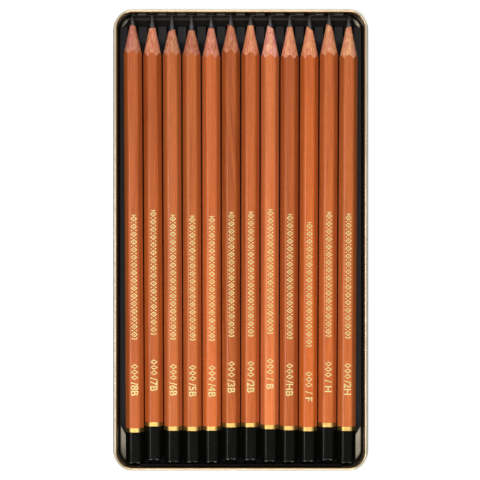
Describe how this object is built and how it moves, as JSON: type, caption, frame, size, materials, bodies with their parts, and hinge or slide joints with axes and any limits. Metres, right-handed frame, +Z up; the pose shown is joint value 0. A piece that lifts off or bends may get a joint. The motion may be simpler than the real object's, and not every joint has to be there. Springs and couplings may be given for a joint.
{
  "type": "graphite pencil tin",
  "caption": "Shallow rounded metal tin of hexagonal graphite pencils in a ribbed black plastic bed, open, standing in its upturned lift-off lid.",
  "frame": {"origin": "middle of the flat underside that the set rests on", "axes": "+X across the pencils, +Y along them towards their points, +Z up out of the open tin"},
  "size_m": [0.1002, 0.1816, 0.011],
  "materials": {
    "tray_lacquer": "clear champagne lacquer on bright tinplate",
    "lid_lacquer": "satin black lacquer on tinplate",
    "bed_plastic": "glossy black formed sheet",
    "varnished_cedar": "clear varnish over stained cedar, bare wood at the sharpened cone",
    "graphite": "smooth dark grey graphite",
    "gold_foil": "hot-stamped gold foil",
    "black_dip": "dipped gloss black lacquer"
  },
  "bodies": {
    "lid": {"lid": "lid_lacquer"},
    "tray": {"tray": "tray_lacquer"},
    "bed": {"pencil_bed": "bed_plastic"},
    "pencil_01": {"pencil_01_casing": "varnished_cedar", "pencil_01_lead": "graphite", "pencil_01_gold_band": "gold_foil", "pencil_01_dipped_end": "black_dip"},
    "pencil_02": {"pencil_02_casing": "varnished_cedar", "pencil_02_lead": "graphite", "pencil_02_gold_band": "gold_foil", "pencil_02_dipped_end": "black_dip"},
    "pencil_03": {"pencil_03_casing": "varnished_cedar", "pencil_03_lead": "graphite", "pencil_03_gold_band": "gold_foil", "pencil_03_dipped_end": "black_dip"},
    "pencil_04": {"pencil_04_casing": "varnished_cedar", "pencil_04_lead": "graphite", "pencil_04_gold_band": "gold_foil", "pencil_04_dipped_end": "black_dip"},
    "pencil_05": {"pencil_05_casing": "varnished_cedar", "pencil_05_lead": "graphite", "pencil_05_gold_band": "gold_foil", "pencil_05_dipped_end": "black_dip"},
    "pencil_06": {"pencil_06_casing": "varnished_cedar", "pencil_06_lead": "graphite", "pencil_06_gold_band": "gold_foil", "pencil_06_dipped_end": "black_dip"},
    "pencil_07": {"pencil_07_casing": "varnished_cedar", "pencil_07_lead": "graphite", "pencil_07_gold_band": "gold_foil", "pencil_07_dipped_end": "black_dip"},
    "pencil_08": {"pencil_08_casing": "varnished_cedar", "pencil_08_lead": "graphite", "pencil_08_gold_band": "gold_foil", "pencil_08_dipped_end": "black_dip"},
    "pencil_09": {"pencil_09_casing": "varnished_cedar", "pencil_09_lead": "graphite", "pencil_09_gold_band": "gold_foil", "pencil_09_dipped_end": "black_dip"},
    "pencil_10": {"pencil_10_casing": "varnished_cedar", "pencil_10_lead": "graphite", "pencil_10_gold_band": "gold_foil", "pencil_10_dipped_end": "black_dip"},
    "pencil_11": {"pencil_11_casing": "varnished_cedar", "pencil_11_lead": "graphite", "pencil_11_gold_band": "gold_foil", "pencil_11_dipped_end": "black_dip"},
    "pencil_12": {"pencil_12_casing": "varnished_cedar", "pencil_12_lead": "graphite", "pencil_12_gold_band": "gold_foil", "pencil_12_dipped_end": "black_dip"}
  },
  "joints": [
    {"name": "tray_lift", "type": "slide", "parent": "lid", "child": "tray", "axis": [0, 0, 1], "range_m": [0, 0.025]},
    {"name": "bed_lift", "type": "slide", "parent": "tray", "child": "bed", "axis": [0, 0, 1], "range_m": [0, 0.02]},
    {"name": "pencil_01_lift", "type": "slide", "parent": "bed", "child": "pencil_01", "axis": [0, 0, 1], "range_m": [0, 0.03]},
    {"name": "pencil_02_lift", "type": "slide", "parent": "bed", "child": "pencil_02", "axis": [0, 0, 1], "range_m": [0, 0.03]},
    {"name": "pencil_03_lift", "type": "slide", "parent": "bed", "child": "pencil_03", "axis": [0, 0, 1], "range_m": [0, 0.03]},
    {"name": "pencil_04_lift", "type": "slide", "parent": "bed", "child": "pencil_04", "axis": [0, 0, 1], "range_m": [0, 0.03]},
    {"name": "pencil_05_lift", "type": "slide", "parent": "bed", "child": "pencil_05", "axis": [0, 0, 1], "range_m": [0, 0.03]},
    {"name": "pencil_06_lift", "type": "slide", "parent": "bed", "child": "pencil_06", "axis": [0, 0, 1], "range_m": [0, 0.03]},
    {"name": "pencil_07_lift", "type": "slide", "parent": "bed", "child": "pencil_07", "axis": [0, 0, 1], "range_m": [0, 0.03]},
    {"name": "pencil_08_lift", "type": "slide", "parent": "bed", "child": "pencil_08", "axis": [0, 0, 1], "range_m": [0, 0.03]},
    {"name": "pencil_09_lift", "type": "slide", "parent": "bed", "child": "pencil_09", "axis": [0, 0, 1], "range_m": [0, 0.03]},
    {"name": "pencil_10_lift", "type": "slide", "parent": "bed", "child": "pencil_10", "axis": [0, 0, 1], "range_m": [0, 0.03]},
    {"name": "pencil_11_lift", "type": "slide", "parent": "bed", "child": "pencil_11", "axis": [0, 0, 1], "range_m": [0, 0.03]},
    {"name": "pencil_12_lift", "type": "slide", "parent": "bed", "child": "pencil_12", "axis": [0, 0, 1], "range_m": [0, 0.03]}
  ]
}
